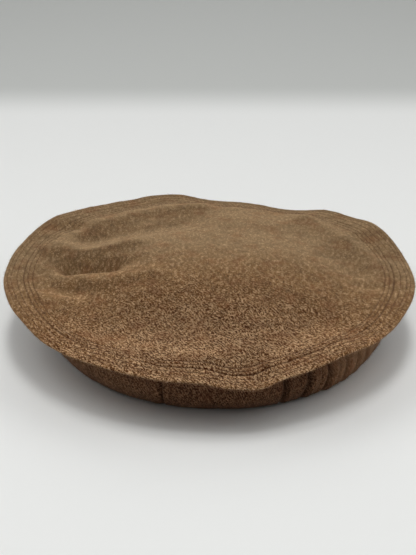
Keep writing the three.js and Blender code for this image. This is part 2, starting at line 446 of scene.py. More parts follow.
def fold_share(x, y, places, front, back):
    """How fully each point has the height of a fold, from 0 to 1. The fold runs through its
    places, and its flank is front wide on the right of that way and back wide on its left."""
    nearest = np.full_like(x, np.inf)
    side = np.zeros_like(x)
    for (ax, ay), (bx, by) in zip(places, places[1:]):
        long_x, long_y = bx - ax, by - ay
        share = ((x - ax) * long_x + (y - ay) * long_y) / (long_x**2 + long_y**2)
        share = np.clip(share, 0, 1)
        off_x, off_y = x - ax - share * long_x, y - ay - share * long_y
        away = np.hypot(off_x, off_y)
        long = math.hypot(long_x, long_y)
        left = (long_x * off_y - long_y * off_x) / (long * (away + TINY))
        side = np.where(away < nearest, left, side)
        nearest = np.minimum(nearest, away)
    width = front + (back - front) * (0.5 + 0.5 * side)
    return np.exp(-((nearest / width) ** 2))


def relief(sizes, x, y):
    """How far the cloth over the roll lies above its plain level, at places seen from above"""
    sx, sy = x / sizes.crown_radius, y / sizes.crown_radius
    angle, out = np.degrees(np.arctan2(sy, sx)), np.hypot(sx, sy)
    bend = smooth_step(out, RIM_BEND_START, 1)
    away = np.hypot(sx - DOME["x"], sy - DOME["y"])
    dome = 1 - smooth_step(away, DOME["inner"], DOME["outer"])
    share = DOME["rise"] * dome
    for _, places, rise, front, back in CROWN_FOLDS:
        share += rise * fold_share(sx, sy, places, front, back)
    # The stitched edge is too stiff to follow the folds
    share *= 1 - STIFF_EDGE["share"] * smooth_step(out, STIFF_EDGE["start"], 1)
    return (share + bend * rim_curve("lift", angle)) * sizes.roll_height


def painted_slope_shade(sizes, x, y):
    """Painted shade, from -1 to 1: how far the cloth slopes up to the back, where it faces the
    front and gets less of the light from above. Where it slopes down to the back it is painted
    lighter."""
    step = 2 * MM
    slope = (relief(sizes, x, y + step) - relief(sizes, x, y - step)) / (2 * step)
    # The painted shade is weaker on the stitched rim, most at the front
    out = np.hypot(x, y)
    worn = PAINTED_SLOPE_SHADE["worn"] + PAINTED_SLOPE_SHADE["worn_front"] * (0.5 - 0.5 * y / np.maximum(out, MM))
    worn = worn * smooth_step(out / sizes.crown_radius, PAINTED_SLOPE_SHADE["start"], PAINTED_SLOPE_SHADE["end"])
    return np.tanh(slope / PAINTED_SLOPE_SHADE["slope"]) * (1 - worn)


def layers(sizes):
    """The heights and radii that the cloths lie at, as in the plain round hat"""
    step = sizes.side_cloth + sizes.roll_slack
    half_wide = (sizes.roll_width + step / 2) / 2
    half_high = (sizes.roll_height + sizes.roll_pressed + step) / 2
    flange_low = sizes.roll_height + sizes.sewn_gap
    return {
        "step": step,
        "half_wide": half_wide,
        "half_high": half_high,
        "roll_radius": sizes.head_radius + half_wide,
        "roll_middle": half_high - step / 4 - sizes.roll_pressed,
        "flange_low": flange_low,
        "crown_low": flange_low + sizes.side_cloth + sizes.sewn_gap,
        "crown_high": flange_low + sizes.side_cloth + sizes.sewn_gap + sizes.crown_cloth,
    }


def row_wander(sizes, angle):
    """How far the rows of stitching stray from their true rounds"""
    return unevenness("rows of stitching", *on_round(sizes.crown_radius, angle))


def row_grooves(sizes, inside, angle):
    """How deep the rows of stitching pull the cloth in, inside being from the edge. They show
    most at the front, where the rim droops."""
    x, y = on_round(sizes.crown_radius, angle)
    here = inside + row_wander(sizes, angle)
    deep = np.zeros_like(inside)
    for number, (row, depth) in enumerate(STITCH_ROWS):
        pull = undulation(x, y, ROW_PULL["wavelength"] * MM, ROW_PULL["seed"] + number)
        uneven = np.clip(1 + ROW_PULL["share"] * pull, ROW_PULL["least"], ROW_PULL["most"])
        across = (here - row * MM) / (GROOVE_HALF_WIDTH * MM)
        deep += depth * MM * uneven * np.exp(-(across**2))
    front = 0.5 - 0.5 * np.sin(np.radians(angle))
    droop = np.exp(-((turn_from(DROOP["at"], angle) / DROOP["width"]) ** 2))
    shown = GROOVE_SHARES["everywhere"] + GROOVE_SHARES["front"] * front
    return deep * (shown + GROOVE_SHARES["droop"] * droop)


def rim_quilting(sizes, inside, angle):
    """The rim's surface between and in the rows of stitching"""
    rows = STITCH_ROWS[-1][0] * MM
    pucker = unevenness("puckered rim", *on_round(sizes.crown_radius, angle))
    pucker *= smooth_step(inside, 0, 2 * MM) * (1 - smooth_step(inside, rows, rows * 1.2))
    return pucker - row_grooves(sizes, inside, angle)


def crown_place(sizes, radius, height, angle):
    """Where points of the plain round crown lie; the fine forms are on its upper side alone"""
    at = layers(sizes)
    bend = smooth_step(radius, RIM_BEND_START * sizes.crown_radius, sizes.crown_radius)
    ragged = unevenness("crown's edge", *on_round(sizes.crown_radius, angle))
    reach = rim_curve("reach", angle) + ragged / sizes.crown_radius
    x, y = on_round(radius * (1 + bend * reach), angle)
    upper = smooth_step(height, at["crown_low"], at["crown_high"])
    fine = rim_quilting(sizes, sizes.crown_radius - radius, angle) + unevenness("crown", x, y)
    return x, y, height + relief(sizes, x, y) + fine * upper


def gathers(sizes, height, angle):
    """How far the roll's outside is drawn in at its gathers, at heights above the table"""
    share = height / sizes.roll_height - 0.5
    drawn = np.zeros_like(height)
    for where, width, depth, lean in GATHERS:
        turned = turn_from(where + lean * share, angle)
        drawn += depth * MM * np.exp(-((turned / width) ** 2))
    return drawn


def side_place(sizes, radius, height, angle):
    """Where points of the plain round side lie. The flange keeps to the crown, and the lower a
    point of the roll is, the more it has slipped and the less it follows the crown's folds."""
    at = layers(sizes)
    upper = smooth_step(height, at["roll_middle"], sizes.roll_height)
    flange = smooth_step(height, at["roll_middle"], at["flange_low"])
    outer = smooth_step(radius, at["roll_radius"], sizes.head_radius + sizes.roll_width)
    around = np.radians(angle) * at["roll_radius"]
    drawn = gathers(sizes, height, angle) + unevenness("roll", around, height)
    away = turn_from(FLATTER_END["at"], angle)
    drawn += FLATTER_END["depth"] * MM * np.exp(-((away / FLATTER_END["width"]) ** 2))
    # Only the roll's outside is drawn in
    out = radius - drawn * outer * (1 - flange)
    bend = smooth_step(out, RIM_BEND_START * sizes.crown_radius, sizes.crown_radius)
    x, y = on_round(out * (1 + bend * rim_curve("reach", angle)), angle)
    low = np.maximum(0, height + relief(sizes, x, y) * upper)
    shift = sizes.roll_shift
    return x + shift[0] * (1 - flange), y + shift[1] * (1 - flange), low


def crown_outline(sizes):
    """Radii and heights from near the middle of the underside round the edge to the top's middle"""
    at = layers(sizes)
    low, high, radius = at["crown_low"], at["crown_high"], sizes.crown_radius
    edge = sizes.crown_cloth / 2
    bulge, corner = 0.1 * edge, 0.4 * edge
    under = [(share * radius, low) for share in CROWN_UNDERSIDE]
    turned = [(radius - edge, low), (radius + bulge, low + corner)]
    turned += [(radius + bulge, high - corner), (radius - edge, high)]
    rim = [(radius - edge - step * MM, high) for step in np.arange(*CROWN_RIM)]
    return under + turned + rim + [(share * radius, high) for share in CROWN_TOP]


def side_line(sizes):
    """The middle line of the side's cloth: flange, wall, then the roll from its outside inwards"""
    at = layers(sizes)
    cloth = sizes.side_cloth
    level, wall = at["flange_low"] + cloth / 2, sizes.head_radius + cloth / 2
    line = [(sizes.crown_radius - sizes.seam_turning, level)]
    line += [(share * sizes.crown_radius, level) for share in FLANGE]
    # It turns down round a corner about as wide as the cloth is thick
    line += [(wall + cloth / 3, level - cloth / 2)]
    line += [(wall, level - cloth * 1.6), (wall, level - cloth * 3.2)]
    turns = [(i + 0.5) / OUTER_TURN_RINGS for i in range(OUTER_TURN_RINGS)]
    inside = round((sizes.roll_turns - 1) * INNER_TURN_RINGS)
    turns += [1 + (i + 0.5) / INNER_TURN_RINGS for i in range(inside)]
    for turn in turns:
        angle = math.pi * (1 + 2 * turn)
        inset = cloth / 2 + at["step"] * turn
        line.append(
            (
                at["roll_radius"] + (at["half_wide"] - inset) * math.cos(angle),
                at["roll_middle"] + (at["half_high"] - inset) * math.sin(angle),
            )
        )
    return line


def thicken(line, cloth):
    """The closed outline of a strip of cloth that has its middle on a line"""
    points = np.array(line)
    along = np.gradient(points, axis=0)
    along /= np.linalg.norm(along, axis=1)[:, None]
    across = np.stack([along[:, 1], -along[:, 0]], axis=1) * cloth / 2
    return [tuple(p) for p in np.concatenate([points + across, (points - across)[::-1]])]


# Modelling


def start_piece(name):
    """Names the piece that an operator has just added, and selects it alone"""
    bpy.ops.object.select_all(action="DESELECT")
    bpy.context.object.name = name
    bpy.context.object.data.name = name
    bpy.context.object.select_set(True)
    return bpy.context.object


def extrude_ring(before, after):
    """Extrudes the selected ring of edges to another radius and height"""
    bpy.ops.mesh.extrude_region_move()
    scale = after[0] / before[0]
    bpy.ops.transform.resize(value=(scale, scale, 1), center_override=(0, 0, 0))
    bpy.ops.transform.translate(value=(0, 0, after[1] - before[1]))


def ringed_cloth(name, outline, stations, closed):
    """A round of cloth, extruded ring by ring along its outline. A closed outline is joined to its
    own start, and an open one is closed at the middle at both its ends."""
    bpy.ops.object.select_all(action="DESELECT")
    bpy.ops.mesh.primitive_circle_add(vertices=stations, radius=outline[0][0])
    piece = start_piece(name)
    bpy.ops.object.mode_set(mode="EDIT")
    bpy.ops.mesh.select_mode(type="EDGE")
    bpy.ops.mesh.select_all(action="SELECT")
    bpy.ops.transform.translate(value=(0, 0, outline[0][1]))
    for before, after in zip(outline, outline[1:]):
        extrude_ring(before, after)
    if closed:
        bpy.ops.mesh.select_all(action="DESELECT")
        bpy.ops.mesh.select_non_manifold(extend=False)
        bpy.ops.mesh.bridge_edge_loops()
    else:
        bpy.ops.mesh.extrude_region_move()
        bpy.ops.mesh.merge(type="CENTER")
        bpy.ops.mesh.select_all(action="DESELECT")
        bpy.ops.mesh.select_non_manifold(extend=False)
        bpy.ops.mesh.extrude_region_move()
        bpy.ops.mesh.merge(type="CENTER")
    bpy.ops.mesh.select_all(action="SELECT")
    bpy.ops.mesh.normals_make_consistent(inside=False)
    bpy.ops.object.mode_set(mode="OBJECT")
    return piece


def vertex_places(piece):
    places = np.empty(len(piece.data.vertices) * 3)
    piece.data.vertices.foreach_get("co", places)
    return places.reshape(-1, 3)


def set_vertex_places(piece, x, y, z):
    piece.data.vertices.foreach_set("co", np.stack([x, y, z], axis=1).ravel())
    piece.data.update()


def add_share(piece, name, values):
    """A number at each point of a piece, for its material to read"""
    made = piece.data.attributes.new(name, "FLOAT", "POINT")
    made.data.foreach_set("value", values)


def loop_vertices(piece):
    corners = np.empty(len(piece.data.loops), np.int32)
    piece.data.loops.foreach_get("vertex_index", corners)
    return corners


def unwrapped_angles(piece, corners, angle):
    """The angle at each face corner, without a jump inside any face"""
    starts = np.empty(len(piece.data.polygons), np.int32)
    piece.data.polygons.foreach_get("loop_start", starts)
    totals = np.empty(len(piece.data.polygons), np.int32)
    piece.data.polygons.foreach_get("loop_total", totals)
    first = np.repeat(angle[corners[starts]], totals)
    return first + turn_from(first, angle[corners])


def add_cloth_map(piece, u, v):
    layer = piece.data.uv_layers.new(name=CLOTH_MAP)
    layer.data.foreach_set("uv", np.stack([u, v], axis=1).ravel())


def map_crown(crown, outline, stations):
    """Lays the cloth flat from the middle of its top, over the edge, by lengths along it. The
    underside, seen from its own middle, lies on its own."""
    x, y, _ = vertex_places(crown).T
    places = np.array(outline[::-1])
    lengths = np.linalg.norm(np.diff(places, axis=0), axis=1)
    out = np.concatenate([[places[0][0]], places[0][0] + np.cumsum(lengths)])[::-1]
    ring = np.minimum(np.arange(len(x)) // stations, len(outline))
    out = np.concatenate([out, [0.0]])[ring]
    radius = np.hypot(x, y)
    spread = np.where(radius > NEARLY_NONE, out / np.maximum(radius, NEARLY_NONE), 0)
    corners = loop_vertices(crown)
    starts = np.empty(len(crown.data.polygons), np.int32)
    crown.data.polygons.foreach_get("loop_start", starts)
    rings = np.where(radius[corners] < NEARLY_NONE, 0, ring[corners])
    under = np.maximum.reduceat(rings, starts) <= len(CROWN_UNDERSIDE)
    normals = np.empty(len(crown.data.polygons) * 3)
    crown.data.polygons.foreach_get("normal", normals)
    under &= normals.reshape(-1, 3)[:, 2] < -0.5
    totals = np.diff(np.append(starts, len(corners)))
    spread = np.where(np.repeat(under, totals), 1.0, spread[corners])
    add_cloth_map(crown, x[corners] * spread, y[corners] * spread)


def map_side(sizes, side, outline, stations):
    """Lays the cloth flat by lengths along its section, from one edge round to the other face"""
    x, y, _ = vertex_places(side).T
    lengths = np.linalg.norm(np.diff(np.array(outline + outline[:1]), axis=0), axis=1)
    along = np.concatenate([[0], np.cumsum(lengths)])
    corners = loop_vertices(side)
    ring = corners // stations
    # The faces that close the section end at its whole length and not at its start
    sides = ring.reshape(-1, 4)
    closing = (sides.max(axis=1) - sides.min(axis=1)) > 1
    v = np.where(np.repeat(closing, 4) & (ring == 0), along[-1], along[ring])
    turned = unwrapped_angles(side, corners, np.degrees(np.arctan2(y, x)))
    add_cloth_map(side, np.radians(turned) * sizes.crown_radius * MEAN_SIDE, v)


def subdivide(piece, levels):
    modifier = piece.modifiers.new("Soften", "SUBSURF")
    modifier.levels = modifier.render_levels = levels
    modifier.boundary_smooth = "PRESERVE_CORNERS"
    bpy.ops.object.modifier_apply(modifier=modifier.name)


def shade_smooth(piece):
    piece.data.polygons.foreach_set("use_smooth", [True] * len(piece.data.polygons))


def copies_of(name, model, places):
    """One mesh of many copies of a small model, each moved by its own matrix"""
    points = vertex_places(model)
    faces = [tuple(face.vertices) for face in model.data.polygons]
    ones = np.concatenate([points, np.ones((len(points), 1))], axis=1)
    moved = np.einsum("nij,pj->npi", np.asarray(places), ones)[..., :3].reshape(-1, 3)
    corners = [
        tuple(vertex + copy * len(points) for vertex in face)
        for copy in range(len(places))
        for face in faces
    ]
    mesh = bpy.data.meshes.new(name)
    mesh.from_pydata(moved.tolist(), [], corners)
    piece = bpy.data.objects.new(name, mesh)
    bpy.context.scene.collection.objects.link(piece)
    bpy.data.objects.remove(model)
    shade_smooth(piece)
    return piece


def spindle(name, sides, shares, bow):
    """A slender closed piece of length 1 along X and width 1, bowed up in the middle"""
    bpy.ops.object.select_all(action="DESELECT")
    bpy.ops.mesh.primitive_circle_add(vertices=sides, radius=0.5, rotation=(0, math.pi / 2, 0))
    piece = start_piece(name)
    bpy.ops.object.transform_apply(rotation=True)
    bpy.ops.object.mode_set(mode="EDIT")
    bpy.ops.mesh.select_mode(type="EDGE")
    bpy.ops.mesh.select_all(action="SELECT")
    bpy.ops.transform.translate(value=(shares[0][0] - 0.5, 0, 0))
    width = 1.0
    for (at, wide), (before, _) in zip(shares[1:], shares):
        bpy.ops.mesh.extrude_region_move(TRANSFORM_OT_translate={"value": (at - before, 0, 0)})
        scale = wide / width
        bpy.ops.transform.resize(value=(1, scale, scale))
        width = wide
    bpy.ops.mesh.extrude_region_move()
    bpy.ops.mesh.merge(type="CENTER")
    bpy.ops.mesh.select_all(action="DESELECT")
    bpy.ops.mesh.select_non_manifold(extend=False)
    bpy.ops.mesh.edge_face_add()
    bpy.ops.mesh.select_all(action="SELECT")
    bpy.ops.mesh.normals_make_consistent(inside=False)
    bpy.ops.object.mode_set(mode="OBJECT")
    x, y, z = vertex_places(piece).T
    set_vertex_places(piece, x, y, z + bow * (0.25 - x * x))
    return piece


def turned_matrices(origins, along, up, scales):
    """Matrices that lay a model's X along one direction and its Z up another"""
    along = along / np.linalg.norm(along, axis=1)[:, None]
    across = np.cross(up, along)
    across /= np.linalg.norm(across, axis=1)[:, None]
    up = np.cross(along, across)
    matrices = np.zeros((len(origins), 4, 4))
    for column, (direction, size) in enumerate(zip((along, across, up), scales)):
        matrices[:, :3, column] = direction * np.asarray(size)[:, None]
    matrices[:, :3, 3] = origins
    matrices[:, 3, 3] = 1
    return matrices


# Materials


def linear(colour):
    """An sRGB hex colour as linear red, green and blue, with full cover"""
    parts = [int(colour[i : i + 2], 16) / 255 for i in (0, 2, 4)]
    return [p / 12.92 if p <= 0.04045 else ((p + 0.055) / 1.055) ** 2.4 for p in parts] + [1.0]


def add_node(tree, kind, inputs, stops=(), **settings):
    """Adds a node, sets it, and sets or links its inputs"""
    made = tree.nodes.new(kind)
    for key, value in settings.items():
        setattr(made, key, value)
    for key, value in inputs.items():
        if isinstance(value, bpy.types.NodeSocket):
            tree.links.new(value, made.inputs[key])
        else:
            made.inputs[key].default_value = value
    for number, (at, colour) in enumerate(stops):
        ramp = made.color_ramp.elements
        stop = ramp[number] if number < 2 else ramp.new(at)
        stop.position = at
        stop.color = colour
    return made


def new_material(name):
    material = bpy.data.materials.new(name)
    material.use_nodes = True
    material.node_tree.nodes.clear()
    return material, material.node_tree


def finish_material(tree, colour, normal, roughness, sheen, tint):
    """Gives a material its surface, with the soft sheen that loose fibres lend it"""
    inputs = {
        "Base Color": colour,
        "Roughness": roughness,
        "Specular IOR Level": 0.2,
        "Sheen Weight": sheen,
        "Sheen Roughness": 0.45,
        "Sheen Tint": linear(tint),
    }
    surface = add_node(tree, "ShaderNodeBsdfPrincipled", inputs)
    if normal is not None:
        tree.links.new(normal, surface.inputs["Normal"])
    add_node(tree, "ShaderNodeOutputMaterial", {"Surface": surface.outputs["BSDF"]})


def woven_threads(tree, mm):
    """The places along the wales, which run slantwise and wander with their yarns, and how high the
    threads and the felted fibres over them stand"""
    noise = {"Vector": mm, "Scale": WOOL_CELLS["drift"], "Detail": 3.0}
    drift = add_node(tree, "ShaderNodeTexNoise", noise).outputs["Color"]
    centred = {0: drift, 1: (NOISE_MEAN, NOISE_MEAN, NOISE_MEAN)}
    offset = add_node(tree, "ShaderNodeVectorMath", centred, operation="SUBTRACT").outputs[0]
    moved = {0: offset, 1: (YARN_DRIFT, YARN_DRIFT, YARN_DRIFT), 2: mm}
    drifted = add_node(tree, "ShaderNodeVectorMath", moved, operation="MULTIPLY_ADD").outputs[0]
    turned = {"Vector": drifted, "Angle": math.radians(WALE_TURN)}
    slant = add_node(tree, "ShaderNodeVectorRotate", turned, rotation_type="Z_AXIS").outputs[0]

    # At scale 1 the bands of a wave lie 2 pi / 20 apart
    wave = {"Vector": slant, "Distortion": 3.5, "Detail": 2.0, "Detail Scale": 5.0}
    band = 2 * math.pi / 20
    across = wave | {"Scale": band / WALE_SPACING}
    wales = add_node(tree, "ShaderNodeTexWave", across).outputs["Fac"]
    across = wave | {"Scale": band / FLOAT_SPACING}
    floats = add_node(tree, "ShaderNodeTexWave", across, bands_direction="Y").outputs["Fac"]
    weave = {0: wales, 1: WALE_SHARE, 2: floats}
    weave = add_node(tree, "ShaderNodeMath", weave, operation="MULTIPLY_ADD").outputs[0]

    # Fulling has hidden nearly all of the weave under fibres that were combed to one side
    turned = {"Vector": drifted, "Angle": math.radians(FIBRE_TURN)}
    combed = add_node(tree, "ShaderNodeVectorRotate", turned, rotation_type="Z_AXIS").outputs[0]
    long = {"Vector": combed, "Scale": (1.0, 0.5, 1.0)}
    lain = add_node(tree, "ShaderNodeMapping", long).outputs[0]
    noise = {"Vector": lain, "Scale": WOOL_CELLS["fibres"], "Detail": 3.0, "Roughness": 0.8}
    fibres = add_node(tree, "ShaderNodeTexNoise", noise).outputs["Fac"]
    weave = {0: weave, 1: WEAVE_SHARE, 2: fibres}
    return slant, add_node(tree, "ShaderNodeMath", weave, operation="MULTIPLY_ADD").outputs[0]


def front_middle_distance(tree):
    """How far the face is from the middle of its front, where it is worn clearest of nap and has
    the least painted sheen
    """
    place = add_node(tree, "ShaderNodeTexCoord", {}).outputs["Object"]
    worn = {0: place, 1: FRONT_MIDDLE_STRETCH, 2: FRONT_MIDDLE_FORWARDS}
    worn = add_node(tree, "ShaderNodeVectorMath", worn, operation="MULTIPLY_ADD").outputs[0]
    return add_node(tree, "ShaderNodeVectorMath", {0: worn}, operation="LENGTH").outputs["Value"]


def mixed_fibres(tree, colours, mm, height, away):
    """The brown of the mixed fibres, lighter the higher one lies: partly the fibres' own mixed
    shades, partly painted shade low between the threads. Where the face is worn they stand out one
    by one"""
    cut = {"Value": away, "From Min": 0.01, "From Max": 0.12, "To Min": 2.35, "To Max": 0.34}
    clear = add_node(tree, "ShaderNodeMapRange", cut, interpolation_type="SMOOTHSTEP").outputs[0]
    above = {0: height, 1: HEIGHT_MEAN}
    above = add_node(tree, "ShaderNodeMath", above, operation="SUBTRACT").outputs[0]
    # Tufts of the fleece, brushed to the front, show as soft blots where the nap is thick
    brushed = add_node(tree, "ShaderNodeMapping", {"Vector": mm, "Scale": (1.0, 0.5, 1.0)})
    noise = {"Vector": brushed.outputs[0], "Scale": WOOL_CELLS["tufts"], "Detail": 2.0}
    tufts = {0: add_node(tree, "ShaderNodeTexNoise", noise).outputs["Fac"], 1: NOISE_MEAN}
    tufts = add_node(tree, "ShaderNodeMath", tufts, operation="SUBTRACT").outputs[0]
    cut = {"Value": away, "From Min": 0.05, "From Max": 0.12, "To Min": 0.25, "To Max": 0.45}
    strong = add_node(tree, "ShaderNodeMapRange", cut).outputs[0]
    seen = {0: tufts, 1: strong, 2: MIDDLE_TONE}
    seen = add_node(tree, "ShaderNodeMath", seen, operation="MULTIPLY_ADD").outputs[0]
    seen = {0: above, 1: clear, 2: seen}
    seen = add_node(tree, "ShaderNodeMath", seen, operation="MULTIPLY_ADD").outputs[0]
    stops = (
        (0.4, linear(colours.wool_dark)),
        (0.68, linear(colours.wool_light)),
        (MIDDLE_TONE, linear(colours.wool_middle)),
    )
    return add_node(tree, "ShaderNodeValToRGB", {"Fac": seen}, stops=stops).outputs["Color"]


def nap_sheen_flecks_and_shade(tree, mm, slant, away, painted_shading, groove_shade):
    """How much of its own colour each thing that lies on the mixed fibres lends them: grey nap,
    which on the face is mostly painted sheen, loose light fibres, redder fleece and painted shade
    in grooves"""
    # Away from the middle of the front the face is painted greyer: painted sheen, as on fibres seen
    # at a low angle
    cut = {"Value": away, "From Min": 0.065, "From Max": 0.15, "To Max": 0.62}
    painted_sheen = add_node(tree, "ShaderNodeMapRange", cut).outputs[0]
    # Where the painted shade is darkest, less of the painted sheen is laid on
    cut = {"Value": painted_shading, "From Max": 1.0, "To Min": 1.0, "To Max": 0.6}
    sheen_left_in_shade = add_node(tree, "ShaderNodeMapRange", cut).outputs[0]
    # Greyer nap and painted light towards the ends of the roll's front
    grey_haze_and_light = add_node(tree, "ShaderNodeAttribute", {}, attribute_name="grey_haze_and_light").outputs["Fac"]
    grey_nap_and_sheen_share = {0: painted_sheen, 1: sheen_left_in_shade, 2: grey_haze_and_light}
    grey_nap_and_sheen_share = add_node(tree, "ShaderNodeMath", grey_nap_and_sheen_share, operation="MULTIPLY_ADD").outputs[0]

    short = {"Vector": slant, "Scale": (1.3, 0.6, 1.0), "Location": (40, 70, 0)}
    lying = add_node(tree, "ShaderNodeMapping", short).outputs[0]
    noise = {"Vector": lying, "Scale": WOOL_CELLS["flecks"], "Detail": 1.0}
    flecks = add_node(tree, "ShaderNodeTexNoise", noise).outputs["Fac"]
    noise = {"Vector": mm, "Scale": WOOL_CELLS["warmth"], "Detail": 3.0}
    warmth = add_node(tree, "ShaderNodeTexNoise", noise).outputs["Fac"]
    cuts = (
        {"Value": flecks, "From Min": 0.6, "From Max": 0.74, "To Max": 0.8},
        {"Value": warmth, "From Min": 0.5, "From Max": 0.7, "To Max": 0.4},
        {"Value": groove_shade, "From Max": 0.8, "To Max": 0.7},
    )
    return grey_nap_and_sheen_share, *(add_node(tree, "ShaderNodeMapRange", cut).outputs[0] for cut in cuts)


def painted_light_and_shade(tree, mm, painted_shading, groove_shade):
    """How far the colour is painted lighter or darker: painted shade where the cloth faces the
    front and down in a groove or gather, painted light at the roll's ends, and slightly uneven
    everywhere"""
    noise = {"Vector": mm, "Scale": WOOL_CELLS["brushing"], "Detail": 2.0}
    uneven = add_node(tree, "ShaderNodeTexNoise", noise).outputs["Fac"]
    cuts = (
        {"Value": painted_shading, "From Min": -3.0, "From Max": 1.0, "To Min": 2.02, "To Max": 0.66},
        {"Value": uneven, "From Min": 0.3, "From Max": 0.7, "To Min": 0.86, "To Max": 1.14},
        {"Value": groove_shade, "From Max": 1.0, "To Min": 1.0, "To Max": 0.6},
    )
    lit, *others = (add_node(tree, "ShaderNodeMapRange", cut).outputs[0] for cut in cuts)
    for other in others:
        lit = add_node(tree, "ShaderNodeMath", {0: lit, 1: other}, operation="MULTIPLY").outputs[0]
    return lit


def wool_cloth(name, colours, dye_and_shade):
    """Fulled wool twill, woven of mixed brown fibres and brushed. The wales run slantwise, half
    lost under the felted fibres, and flecks of light and dark wool lie along them."""
    material, tree = new_material(name)
    uv = add_node(tree, "ShaderNodeUVMap", {}, uv_map=CLOTH_MAP).outputs[0]
    scale = {0: uv, "Scale": 1 / MM}
    mm = add_node(tree, "ShaderNodeVectorMath", scale, operation="SCALE").outputs[0]
    # Painted shading: darker where the cloth faces the front, lighter at the roll's ends
    painted_shading = add_node(tree, "ShaderNodeAttribute", {}, attribute_name="painted_shading").outputs["Fac"]
    # Painted shade in the grooves of the stitching and in the gathers
    groove_shade = add_node(tree, "ShaderNodeAttribute", {}, attribute_name="groove_shade").outputs["Fac"]
    slant, height = woven_threads(tree, mm)
    away = front_middle_distance(tree)
    tone = mixed_fibres(tree, colours, mm, height, away)
    shares = nap_sheen_flecks_and_shade(tree, mm, slant, away, painted_shading, groove_shade)
    over = (colours.grey_nap_and_sheen, colours.fleck, colours.wool_red, colours.wool_dark)
    for share, colour in zip(shares, over):
        mix = {0: share, 6: tone, 7: linear(colour)}
        tone = add_node(tree, "ShaderNodeMix", mix, data_type="RGBA").outputs[2]
    # On the side the dye also holds painted shade
    dyed_and_shaded = {0: tone, 1: dye_and_shade}
    dyed_and_shaded = add_node(tree, "ShaderNodeVectorMath", dyed_and_shaded, operation="MULTIPLY").outputs[0]
    shaded = {0: dyed_and_shaded, "Scale": painted_light_and_shade(tree, mm, painted_shading, groove_shade)}
    colour = add_node(tree, "ShaderNodeVectorMath", shaded, operation="SCALE").outputs[0]
    bump = {"Height": height, "Strength": 0.5, "Distance": CLOTH_RELIEF * MM}
    bump = add_node(tree, "ShaderNodeBump", bump).outputs[0]
    finish_material(tree, colour, bump, roughness=0.95, sheen=0.18, tint=colours.nap)
    return material


def plain_fibre(name, dark, light, roughness):
    """Single wool fibres or thread, each of its own shade"""
    material, tree = new_material(name)
    place = add_node(tree, "ShaderNodeTexCoord", {}).outputs["Object"]
    shade = add_node(tree, "ShaderNodeTexNoise", {"Vector": place, "Scale": SHADES_ON_METRE})
    tone = add_node(
        tree,
        "ShaderNodeValToRGB",
        {"Fac": shade.outputs["Fac"]},
        stops=((0.35, linear(dark)), (0.65, linear(light))),
    )
    finish_material(tree, tone.outputs["Color"], None, roughness, sheen=0.3, tint=light)
    return material


def table_top(name, colours):
    """A smooth matt table, a little darker far behind the hat"""
    material, tree = new_material(name)
    place = add_node(tree, "ShaderNodeTexCoord", {}).outputs["Object"]
    back = add_node(tree, "ShaderNodeSeparateXYZ", {"Vector": place}).outputs["Y"]
    away = add_node(
        tree,
        "ShaderNodeMapRange",
        {"Value": back, "From Min": 0.5, "From Max": 0.63, "To Max": 1.0},
        interpolation_type="SMOOTHSTEP",
    )
    tone = add_node(
        tree,
        "ShaderNodeValToRGB",
        {"Fac": away.outputs[0]},
        stops=((0.0, linear(colours.table)), (1.0, linear(colours.far_table))),
    )
    colour = tone.outputs["Color"]
    finish_material(tree, colour, None, roughness=0.7, sheen=0.0, tint=colours.table)
    return material


# Operators


class PAKOL_OT_crown(bpy.types.Operator):
    """Model the crown: a round of thick wool with its folds and its stitched rim"""

    bl_idname = "pakol.crown"
    bl_label = "Crown"

    def execute(self, context):
        sizes, colours = context.scene.pakol_sizes, context.scene.pakol_colours
        outline = crown_outline(sizes)
        crown = ringed_cloth("crown_cloth", outline, CROWN_STATIONS, closed=False)
        map_crown(crown, outline, CROWN_STATIONS)
        subdivide(crown, 2)
        x, y, z = vertex_places(crown).T
        radius, angle = np.hypot(x, y), np.degrees(np.arctan2(y, x))
        # Painted shade on the slopes of the crown that face the front
        add_share(crown, "painted_shading", painted_slope_shade(sizes, x, y))
        # Painted shade in the grooves of the stitching on the crown's top face
        deep = row_grooves(sizes, sizes.crown_radius - radius, angle) / MM
        add_share(crown, "groove_shade", deep * (z > layers(sizes)["crown_low"] + sizes.crown_cloth / 2))
        set_vertex_places(crown, *crown_place(sizes, radius, z, angle))
        shade_smooth(crown)
        crown.data.materials.append(wool_cloth("fulled_wool_crown", colours, CROWN_DYE))
        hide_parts("crown")
        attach(crown, "root")
        return {"FINISHED"}


